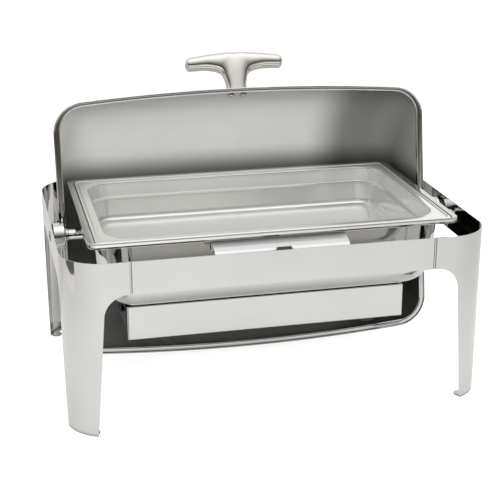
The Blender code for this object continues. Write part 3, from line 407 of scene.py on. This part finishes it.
def steel(name, colour, rough, brush, wave, tone, grain, metallic=1.0, shade_bands=()):
    """Stainless steel: rolled waviness, a brushed grain, smudged roughness and a slight change of tone."""
    g = Finish(name, colour)
    cloud = g.ranged(g.noise(TONE_SCALE, 4.0, 0.55), 0.0, 1.0)
    tones = g.mixed(cloud, scaled(colour, 1 - tone), scaled(colour, 1 + tone))
    lines = g.noise(brush, 3.0, 0.6)
    smudges = g.ranged(g.noise(SMUDGE_SCALE, 5.0, 0.65), *rough)
    streaks = g.ranged(lines, -STREAKS * rough[0], STREAKS * rough[0])
    waves = g.bump(g.noise(WAVE_SCALE, 1.5, 0.4), wave * MM)
    g.surface({
        "Metallic": metallic,
        # Painted shade: the colour is darker in seams and gaps, and in a steel's painted shade bands.
        "Base Color": painted_shade_bands(g, painted_crevice_shade(g, tones), shade_bands),
        "Roughness": g.math("ADD", smudges, streaks),
        "Normal": g.bump(lines, grain * MM, Normal=waves),
    })
    return g.mat


def moulded(name, colour, rough, pits, depth):
    """Moulded rubber or nylon: fine pits of a scale and depth in mm, an uneven sheen and a cloudy tone."""
    g = Finish(name, colour)
    cloud = g.ranged(g.noise(60.0, 4.0, 0.6), 0.0, 1.0)
    g.surface({
        "Base Color": g.mixed(cloud, scaled(colour, 0.8), scaled(colour, 1.35)),
        "Roughness": g.ranged(g.noise(150.0, 3.0), *rough),
        "Normal": g.bump(g.noise(pits, 4.0, 0.6), depth * MM),
    })
    return g.mat


def build_materials():
    made = {name: steel(name, **look) for name, look in STEELS.items()}
    made.update({name: moulded(name, **look) for name, look in MOULDED.items()})
    return made


MATERIALS = build_materials()


# ---------------------------------------------------------------- mesh helpers


def add_piece(name, bm, body, node, material_names, sharp=PIECE_SHARP):
    """Links a piece that stands for a CAD node and rides on its body."""
    bmesh.ops.remove_doubles(bm, verts=bm.verts, dist=WELD)
    bmesh.ops.recalc_face_normals(bm, faces=bm.faces)
    mesh = bpy.data.meshes.new(name)
    bm.to_mesh(mesh)
    bm.free()
    mesh.shade_smooth()
    mesh.set_sharp_from_angle(angle=math.radians(sharp))
    for material in material_names:
        mesh.materials.append(MATERIALS[material])
    obj = bpy.data.objects.new(name, mesh)
    bpy.context.scene.collection.objects.link(obj)
    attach(obj, body)
    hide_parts(node)
    return obj


def soften(obj, width):
    """Rounds a piece's edges."""
    bevel = obj.modifiers.new("edges", "BEVEL")
    bevel.width = width
    bevel.segments = EDGE_SEGMENTS
    bevel.limit_method = "ANGLE"
    bevel.angle_limit = math.radians(EDGE_ANGLE)
    bevel.harden_normals = True


def arc(centre, radius, start, end, steps):
    """Points on an arc; angles in degrees."""
    points = []
    for i in range(steps + 1):
        t = math.radians(start + (end - start) * i / steps)
        points.append((centre[0] + radius * math.cos(t), centre[1] + radius * math.sin(t)))
    return points


def skin(bm, rings, round_again=False):
    """Joins closed rings of points in turn, and caps the ends or joins the last ring to the first."""
    made = [[bm.verts.new(point) for point in ring] for ring in rings]
    size = len(made[0])
    nexts = made[1:] + made[:1] if round_again else made[1:]
    for ring, after in zip(made, nexts):
        for j in range(size):
            k = (j + 1) % size
            bm.faces.new((ring[j], ring[k], after[k], after[j]))
    if not round_again:
        bm.faces.new(made[0])
        bm.faces.new(made[-1])


def opened(bm):
    """Turns a shape drawn about the pivot axis with the lid closed to where it is with the lid open."""
    bm.transform(Matrix.Translation(AXIS) @ Matrix.Rotation(-OPEN_ANGLE, 4, "X"))


# ---------------------------------------------------------------- frame


def cut_height(along, edge):
    """How high the opening beside a leg reaches, at a distance from the frame's middle."""
    top, foot = edge
    start = top - ARCH_R
    spring = BAND_BOTTOM - ARCH_R
    if along <= start:
        return BAND_BOTTOM
    if along <= top:
        return spring + math.sqrt(max(0.0, ARCH_R**2 - (along - start) ** 2))
    return max(0.0, spring * (foot - along) / (foot - top))


def corner_point(turn):
    """A point of the rounded front corner and its outward direction; turn is 0 at the front."""
    outward = (math.sin(turn), -math.cos(turn))
    return (CORNER_X + CORNER_R * outward[0], -CORNER_Y + CORNER_R * outward[1], *outward)


def front_points():
    """Plan points along the front of a right-hand end, from its seam to its leg's edge."""
    top, foot = LEG_EDGE_X
    start = top - ARCH_R
    xs = [SEAM_X + (start - SEAM_X) * i / BAND_STEPS for i in range(BAND_STEPS)]
    xs += [start + ARCH_R * math.sin(math.radians(90 * i / ARCH_STEPS)) for i in range(ARCH_STEPS + 1)]
    xs += [top + (foot - top) * i / LEG_EDGE_STEPS for i in range(1, LEG_EDGE_STEPS + 1)]
    points = []
    for x in xs:
        if x <= CORNER_X:
            points.append((x, -FRAME_Y, 0.0, -1.0))
        else:
            points.append(corner_point(math.asin((x - CORNER_X) / CORNER_R)))
    return points


def leg_points():
    """Plan points round the corner, from one edge of the leg to the other."""
    start = math.asin((LEG_EDGE_X[1] - CORNER_X) / CORNER_R)
    end = math.acos((LEG_EDGE_Y[1] - CORNER_Y) / CORNER_R)
    return [corner_point(start + (end - start) * i / LEG_STEPS) for i in range(1, LEG_STEPS + 1)]


def side_points():
    """Plan points along the side, from the leg's edge to near the middle."""
    top, foot = LEG_EDGE_Y
    ys = [foot + (top - foot) * i / LEG_EDGE_STEPS for i in range(1, LEG_EDGE_STEPS + 1)]
    for i in range(1, ARCH_STEPS + 1):
        ys.append(top - ARCH_R + ARCH_R * math.sin(math.radians(90 - 90 * i / ARCH_STEPS)))
    points = []
    for y in ys:
        if y >= CORNER_Y:
            points.append(corner_point(math.acos((y - CORNER_Y) / CORNER_R)))
        else:
            points.append((FRAME_X, -y, 1.0, 0.0))
    points.append((FRAME_X, -END_MIDDLE_Y, 1.0, 0.0))
    return points


def frame_end(name, side):
    """A bent end sheet with its front and rear leg."""
    half = front_points() + leg_points() + side_points()
    whole = half + [(x, -y, nx, -ny) for x, y, nx, ny in reversed(half)]
    rings = []
    for x, y, nx, ny in whole:
        low = max(cut_height(x, LEG_EDGE_X), cut_height(abs(y), LEG_EDGE_Y))
        inner = (x - nx * FRAME_SHEET, y - ny * FRAME_SHEET)
        corners = [(x, y, low), (x, y, FRAME_TOP), (*inner, FRAME_TOP), (*inner, low)]
        rings.append([(side * a, b, c) for a, b, c in corners])
    bm = bmesh.new()
    skin(bm, rings)
    node = f"frame_end_{name}"
    end = add_piece(f"sheet_{node}", bm, "stand", node, ["polished_steel"])
    soften(end, FRAME_EDGE)


# ---------------------------------------------------------------- pans


def rounded_ring(half_x, front, back, radius, z):
    """A rounded rectangle, counter-clockwise."""
    ring = []
    middle = (front + back) / 2
    half_y = (back - front) / 2
    for k, (sx, sy) in enumerate(((1, 1), (-1, 1), (-1, -1), (1, -1))):
        centre = (sx * (half_x - radius), middle + sy * (half_y - radius))
        ring += [(x, y, z) for x, y in arc(centre, radius, 90 * k, 90 * k + 90, PAN_STEPS)]
    return ring


def inset_ring(half_x, half_y, radius, inset, z):
    """A ring of a pan's wall, in from its opening."""
    return rounded_ring(half_x - inset, PAN_Y - half_y + inset, PAN_Y + half_y - inset, radius, z)


def well_ring(reach, radius, z):
    """A ring past the food pan's rim."""
    return rounded_ring(RIM_X + reach, PAN_Y - RIM_Y - reach, PAN_Y + RIM_Y + reach, radius, z)


def border_ring(inset, z):
    """A ring in from the water pan's outer edge."""
    return rounded_ring(WELL_X - inset, WELL_LOW.y + inset, WELL_HIGH.y - inset, WELL_CORNER - inset, z)


def water_wall(inwards):
    """The water pan's bottom bend and wall, upwards. Two close rings end it, so the wall shades flat."""
    rings = []
    for i in range(WATER_BEND_STEPS + 1):
        turn = math.radians(90 / WATER_BEND_STEPS * i)
        rise = WATER_BOTTOM_R * (1 - math.cos(turn))
        inset = WATER_BOTTOM_R * (1 - math.sin(turn)) + WATER_DRAFT * (WALL_TOP - WATER_BOTTOM - rise)
        radius = WATER_CORNER - WATER_CORNER_LOSS * inset - inwards
        rings.append(inset_ring(WATER_X, WATER_Y, radius, inset + inwards, WATER_BOTTOM + rise + inwards))
    for below in (WALL_TOP_STEP, 0.0):
        lean = inwards + WATER_DRAFT * below
        rings.append(inset_ring(WATER_X, WATER_Y, WATER_CORNER - lean, lean, WALL_TOP - below))
    return rings


def water_edge_under():
    """The underside of the water pan's edge, outwards."""
    reach = BORDER_GAP + 0.6 * MM
    inset = 0.7 * MM
    return [
        inset_ring(WATER_X, WATER_Y, WATER_CORNER, -0.9 * MM, RIM_SEAT - PAN_SHEET),
        well_ring(reach, RIM_CORNER, RIM_SEAT - PAN_SHEET),
        well_ring(reach, RIM_CORNER, WELL_TOP - PAN_SHEET),
        border_ring(inset, WELL_TOP - PAN_SHEET),
        border_ring(inset, WELL_SKIRT + 0.3 * MM),
        border_ring(0.3 * MM, WELL_SKIRT),
    ]


def water_edge_over():
    """The top side of the water pan's edge, inwards."""
    rings = [border_ring(0.0, WELL_SKIRT + 0.5 * MM)]
    rings += [border_ring(inset * MM, WELL_TOP + rise * MM) for inset, rise in BORDER_ROLL]
    for reach, added, rise in INNER_ROLL:
        rings.append(well_ring(BORDER_GAP + reach * MM, RIM_CORNER + added * MM, WELL_TOP + rise * MM))
    rings.append(well_ring(BORDER_GAP, RIM_CORNER, RIM_SEAT))
    rings.append(inset_ring(WATER_X, WATER_Y, WATER_CORNER, 0.1 * MM, RIM_SEAT))
    return rings


def water_pan():
    outside = water_wall(0.0)
    inside = water_wall(PAN_SHEET)
    inside.reverse()
    bm = bmesh.new()
    skin(bm, outside + water_edge_under() + water_edge_over() + inside)
    add_piece("pressed_water_pan", bm, "stand", "water_pan", ["polished_steel"])


def catmull_rom(points, steps):
    """Points of a Catmull-Rom curve through rows of numbers."""
    rows = [points[0], *points, points[-1]]
    curve = []
    for a, b, c, d in zip(rows, rows[1:], rows[2:], rows[3:]):
        for i in range(steps):
            t = i / steps
            curve.append(tuple(
                0.5 * (2 * q + (r - p) * t
                       + (2 * p - 5 * q + 4 * r - s) * t * t
                       + (3 * q - p - 3 * r + s) * t**3)
                for p, q, r, s in zip(a, b, c, d)
            ))
    curve.append(points[-1])
    return curve


def levelled(table):
    """Rows of a table in metres, with the last number of each row measured from its level."""
    return [
        (*(value * MM for value in row[:-1]), level + row[-1] * MM) for level, rows in table for row in rows
    ]


def food_pan():
    wall = levelled(PAN_WALL)
    bead = levelled(RIM_BEAD)
    t = PAN_SHEET
    outside = [inset_ring(OPENING_X, OPENING_Y, radius + t, inset - t, z - t) for inset, radius, z in wall]
    outside.reverse()
    rim = [well_ring(reach, RIM_CORNER, z) for reach, z in levelled(RIM_UNDER)]
    rim += [well_ring(reach, RIM_CORNER, z) for reach, z in catmull_rom(bead, BEAD_STEPS)]
    curve = catmull_rom(wall, PAN_CURVE_STEPS)
    inside = [inset_ring(OPENING_X, OPENING_Y, radius, inset, z) for inset, radius, z in curve]
    bm = bmesh.new()
    skin(bm, outside + rim + inside)
    add_piece("pressed_food_pan", bm, "food_pan", "food_pan", ["pan_steel"])


# ---------------------------------------------------------------- lid


def lid_profile():
    """Half of the lid's outer outline as (x, radius)."""
    centre_x = LID_X - LID_CORNER
    slope = math.degrees(math.atan(2 * LID_BOW * centre_x / LID_X**2))
    start_x = centre_x + LID_CORNER * math.sin(math.radians(slope))
    xs = [start_x * i / BARREL_STEPS for i in range(BARREL_STEPS + 1)]
    barrel = [(x, LID_R - LID_BOW * (x / LID_X) ** 2) for x in xs]
    centre_r = barrel.pop()[1] - LID_CORNER * math.cos(math.radians(slope))
    corner = arc((centre_x, centre_r), LID_CORNER, 90 - slope, 0, LID_CORNER_STEPS)
    last = LID_RIM_W / (1 - LID_TUCK)
    steps = range(1, LID_WALL_STEPS + 1)
    wall = [(LID_X, centre_r + (last - centre_r) * i / LID_WALL_STEPS) for i in steps]
    return barrel + corner + wall


def wall_x(height):
    """How far out the lid's drafted end wall stands at a height."""
    return LID_X - LID_DRAFT * (height - LID_RIM_W)


def front_tuck(radius):
    """How far the front rim is drawn in; it matches the rest of the rim at the end walls."""
    low, high = FRONT_TUCK_R
    share = min(1.0, max(0.0, (radius - low) / (high - low)))
    return LID_TUCK + (FRONT_TUCK - LID_TUCK) * share


def lid_row(x, r):
    """One bent line of the lid's outer skin from its front rim to its rear rim."""
    tucks = (front_tuck(r), LID_TUCK)
    start, stop = (math.asin(min(1.0, LID_RIM_W / (r * (1 - tuck)))) for tuck in tucks)
    stop = math.pi - stop
    row = []
    for i in range(LID_COLUMNS + 1):
        angle = start + (stop - start) * i / LID_COLUMNS
        tuck = tucks[0] if angle < math.pi / 2 else tucks[1]
        from_rim = min(angle - start, stop - angle) / LID_TUCK_SPAN
        reach = r * (1 - tuck * max(0.0, 1 - from_rim) ** 2)
        height = reach * math.sin(angle)
        row.append((x * wall_x(height) / LID_X, -reach * math.cos(angle), height))
    return row


def lid_surface():
    """The lid's outer skin and the plan of its opening."""
    half = lid_profile()
    profile = [(-x, r) for x, r in reversed(half[1:])] + half
    bm = bmesh.new()
    rows = []
    for x, r in profile:
        if r * (1 - LID_TUCK) <= LID_RIM_W * APEX_TOLERANCE:
            rows.append([bm.verts.new((x, 0.0, LID_RIM_W))] * (LID_COLUMNS + 1))
        else:
            rows.append([bm.verts.new(spot) for spot in lid_row(x, r)])
    for row, after in zip(rows, rows[1:]):
        for i in range(LID_COLUMNS):
            corners = []
            for vert in (row[i], row[i + 1], after[i + 1], after[i]):
                if vert not in corners:
                    corners.append(vert)
            bm.faces.new(corners)
    front = [(row[0].co.x, row[0].co.y) for row in rows]
    rear = [(row[-1].co.x, row[-1].co.y) for row in reversed(rows[1:-1])]
    return bm, front + rear


def rim_flange(loop):
    """The polished flange round the lid's opening, with its bead."""
    rings = []
    count = len(loop)
    for i in range(count):
        before, here, after = Vector(loop[i - 1]), Vector(loop[i]), Vector(loop[(i + 1) % count])
        a = (here - before).normalized()
        b = (after - here).normalized()
        outward = (Vector((a.y, -a.x)) + Vector((b.y, -b.x))).normalized()
        mitre = 1 / max(TIGHTEST_MITRE, outward.dot(Vector((a.y, -a.x))))
        width = 1 - (1 - FRONT_FLANGE) * max(0.0, -outward.y) ** 2
        ring = []
        for reach, height in FLANGE_SECTION:
            spot = here + outward * (reach * MM * mitre * (width if reach > 0 else 1.0))
            ring.append((*spot, LID_RIM_W + height * MM))
        rings.append(ring)
    bm = bmesh.new()
    skin(bm, rings, round_again=True)
    return bm


def lid_shell():
    """The lid's pressed dome, satin inside, and its polished rim."""
    bm, loop = lid_surface()
    opened(bm)
    shell = add_piece("lid_dome", bm, "lid", "lid_shell", ["lid_steel", "lid_lining"])
    solidify = shell.modifiers.new("sheet", "SOLIDIFY")
    solidify.thickness = LID_SHEET
    solidify.offset = -1
    solidify.use_even_offset = True
    solidify.material_offset = 1
    bm = rim_flange(loop)
    opened(bm)
    add_piece("lid_rim", bm, "lid", "lid_shell", ["lid_steel"])


def handle_cells():
    """Flat cells of the T handle's outline: a column, its crown and two arms."""
    cells = []
    for (z0, w0), (z1, w1) in zip(HANDLE_COLUMN, HANDLE_COLUMN[1:]):
        cells.append([(-w0, z0), (0.0, z0), (0.0, z1), (-w1, z1)])
        cells.append([(0.0, z0), (w0, z0), (w1, z1), (0.0, z1)])
    crown = (0.0, HANDLE_CROWN)
    shoulder_z, shoulder_w = HANDLE_COLUMN[-1]
    near_x, near_low, near_top = HANDLE_ARM[0]
    for sign in (-1, 1):
        near = (sign * near_x, near_low)
        cells.append([(0.0, shoulder_z), (sign * shoulder_w, shoulder_z), near, crown])
        cells.append([crown, near, (sign * near_x, near_top)])
        for (x0, low0, top0), (x1, low1, top1) in zip(HANDLE_ARM, HANDLE_ARM[1:]):
            cells.append([(sign * x0, low0), (sign * x1, low1), (sign * x1, top1), (sign * x0, top0)])
    return cells


def lid_handle():
    """The cast T handle: its cells thickened, creased where it stands on the lid, and rounded."""
    depths = (-HANDLE_HALF_DEPTH, HANDLE_HALF_DEPTH)
    cells = handle_cells()
    edges = [edge for cell in cells for edge in zip(cell, cell[1:] + cell[:1])]
    counts = Counter(frozenset(edge) for edge in edges)
    bm = bmesh.new()
    for cell in cells:
        for y in depths:
            bm.faces.new([bm.verts.new((x, y, z)) for x, z in cell])
    for start, end in edges:
        if counts[frozenset((start, end))] == 1:
            wall = [(*start, depths[0]), (*end, depths[0]), (*end, depths[1]), (*start, depths[1])]
            bm.faces.new([bm.verts.new((x, y, z)) for x, z, y in wall])
    bmesh.ops.remove_doubles(bm, verts=bm.verts, dist=CAGE_WELD)
    crease = bm.edges.layers.float.new("crease_edge")
    for edge in bm.edges:
        if all(abs(v.co.z) < CAGE_WELD for v in edge.verts):
            edge[crease] = 1.0
    bmesh.ops.translate(bm, verts=bm.verts, vec=(0.0, 0.0, HANDLE_BASE))
    bm.transform(Matrix.Rotation(math.pi / 2 - HANDLE_ANGLE, 4, "X"))
    opened(bm)
    handle = add_piece("handle_casting", bm, "lid", "lid_handle", ["chrome"], ALL_SMOOTH)
    rounding = handle.modifiers.new("rounding", "SUBSURF")
    rounding.levels = HANDLE_ROUNDING
    rounding.render_levels = HANDLE_ROUNDING


def collar_rings():
    """A bored collar about the pivot axis, as its chamfered section turned round."""
    c = COLLAR_CHAMFER
    inner, outer = COLLAR_X
    section = [
        (inner, COLLAR_BORE),
        (outer, COLLAR_BORE),
        (outer, COLLAR_R - c),
        (outer - 0.4 * c, COLLAR_R - 0.4 * c),
        (outer - c, COLLAR_R),
        (inner + c, COLLAR_R),
        (inner + 0.4 * c, COLLAR_R - 0.4 * c),
        (inner, COLLAR_R - c),
    ]
    turns = [2 * math.pi * i / COLLAR_STEPS for i in range(COLLAR_STEPS)]
    return [[(x, r * math.cos(turn), r * math.sin(turn)) for x, r in section] for turn in turns]


def arm_rings():
    """The strap that runs up from the collar and jogs in to the lid's end wall."""
    path = [
        (ARM_X, COLLAR_R - ARM_SUNK),
        (ARM_X, ARM_JOG[0]),
        (wall_x(ARM_JOG[1]) + ARM_GAP, ARM_JOG[1]),
        (wall_x(ARM_TOP) + ARM_GAP, ARM_TOP),
    ]
    w = ARM_HALF_WIDTH
    return [[(x, -w, z), (x + ARM_SHEET, -w, z), (x + ARM_SHEET, w, z), (x, w, z)] for x, z in path]


def hinge_arm(name, side):
    """A collar with its arm."""
    bm = bmesh.new()
    skin(bm, [[(side * x, y, z) for x, y, z in ring] for ring in collar_rings()], round_again=True)
    skin(bm, [[(side * x, y, z) for x, y, z in ring] for ring in arm_rings()])
    opened(bm)
    node = f"hinge_arm_{name}"
    arm = add_piece(f"collar_{node}", bm, "lid", node, ["polished_steel"])
    soften(arm, ARM_EDGE)


# ---------------------------------------------------------------- the whole dish


def finish_cad_nodes():
    """Gives the CAD pieces that stay their procedural finishes and smooth shading."""
    slots = {part["node"]: part["material_slot"] for part in frame["record"]["subparts"]}
    for name, node in NODES.items():
        if node.hide_render:
            continue
        node.data.materials.clear()
        node.data.materials.append(MATERIALS["ledge_steel" if name == "front_ledge" else slots[name]])
        node.data.shade_smooth()
        node.data.set_sharp_from_angle(angle=math.radians(CAD_SHARP))


def build_object():
    for name, side in SIDES.items():
        frame_end(name, side)
        hinge_arm(name, side)
    water_pan()
    food_pan()
    lid_shell()
    lid_handle()
    finish_cad_nodes()


# ---------------------------------------------------------------- studio


def stage_plane(name, corners, height, colour, rough):
    """A flat matt plane of the studio, and its finish."""
    mesh = bpy.data.meshes.new(name)
    mesh.from_pydata([(x, y, height) for x, y in corners], [], [(0, 1, 2, 3)])
    obj = bpy.data.objects.new(name, mesh)
    bpy.context.scene.collection.objects.link(obj)
    g = Finish(name, colour)
    cloud = g.ranged(g.noise(3.0, 4.0), 0.0, 1.0)
    g.surface({
        "Base Color": g.mixed(cloud, scaled(colour, 0.985), colour),
        "Roughness": g.ranged(g.noise(40.0, 3.0), rough, min(1.0, rough + 0.1)),
        "Specular IOR Level": 0.1,
    })
    mesh.materials.append(g.mat)
    return obj, g


def floor():
    """The white floor. It's brighter near the dish for what mirrors it."""
    r = FLOOR_REACH
    _, g = stage_plane("floor", ((-r, -r), (r, -r), (r, r), (-r, r)), 0.0, FLOOR_TONE, FLOOR_ROUGH)
    reach = g.node("ShaderNodeVectorMath", {0: g.coord.outputs["Object"]}, operation="LENGTH")
    near = g.ranged(reach.outputs["Value"], MIRRORED_GLOW, 0.0, *GLOW_RADII)
    path = g.node("ShaderNodeLightPath", {}).outputs
    mirrored = g.math("MULTIPLY", path["Is Glossy Ray"], near)
    direct = g.math("MULTIPLY", path["Is Camera Ray"], CAMERA_GLOW)
    g.surface({"Emission Color": (1.0, 1.0, 1.0), "Emission Strength": g.math("ADD", mirrored, direct)})


def card(name, corners, colour):
    """A card on the floor that only shows in mirroring metal."""
    obj, _ = stage_plane(name, corners, CARD_HEIGHT, colour, CARD_ROUGH)
    obj.visible_camera = False
    obj.visible_diffuse = False
    obj.visible_shadow = False


def area_light(name, location, target, size, power):
    """A rectangular light that mirroring metal doesn't show."""
    data = bpy.data.lights.new(name, "AREA")
    data.shape = "RECTANGLE"
    data.size, data.size_y = size
    data.energy = power
    obj = bpy.data.objects.new(name, data)
    obj.location = location
    obj.visible_glossy = False
    obj.rotation_euler = (Vector(target) - Vector(location)).to_track_quat("-Z", "Y").to_euler()
    bpy.context.scene.collection.objects.link(obj)


def world_light():
    """White all round, but metal mirrors a dark room in front, over a white floor, and a bright ceiling."""
    world = bpy.data.worlds.new("studio")
    world.use_nodes = True
    g = Graph(world.node_tree)
    axes = g.axes(g.coord.outputs["Generated"])
    ramp = g.node("ShaderNodeValToRGB", {"Fac": g.ranged(axes["Z"], 0.0, 1.0, -1.0, 1.0)})
    elements = ramp.color_ramp.elements
    while len(elements) < len(MIRRORED_STOPS):
        elements.new(0.5)
    for element, (position, colour) in zip(elements, MIRRORED_STOPS):
        element.position = position
        element.color = (*colour, 1.0)
    behind = g.ranged(axes["Y"], 0.0, 1.0, 0.0, WHITE_BEHIND)
    room = g.mixed(behind, ramp.outputs["Color"], WHITE)
    path = g.node("ShaderNodeLightPath", {}).outputs
    seen = g.mixed(path["Is Glossy Ray"], SKY, room)
    g.feed(g.tree.nodes["Background"].inputs["Color"], seen)
    bpy.context.scene.world = world


def build_studio():
    world_light()
    floor()
    for name, (corners, colour) in CARDS.items():
        card(name, corners, colour)
    for name, settings in LIGHTS.items():
        area_light(name, *settings)


def build_camera():
    data = bpy.data.cameras.new("camera")
    data.lens = CAMERA_LENS
    data.sensor_width = CAMERA_SENSOR
    data.sensor_fit = "HORIZONTAL"
    camera = bpy.data.objects.new("camera", data)
    bpy.context.scene.collection.objects.link(camera)
    level = math.cos(CAMERA_PITCH)
    forward = Vector((math.sin(CAMERA_YAW) * level, math.cos(CAMERA_YAW) * level, -math.sin(CAMERA_PITCH)))
    right = forward.cross(Vector((0, 0, 1))).normalized()
    up = right.cross(forward)
    turn = Matrix((right, up, -forward)).transposed().to_4x4()
    camera.matrix_world = Matrix.Translation(CAMERA_AT) @ turn
    bpy.context.scene.camera = camera


build_object()
build_studio()
build_camera()
scene = bpy.context.scene
scene.view_settings.view_transform = "Standard"
scene.view_settings.look = "None"
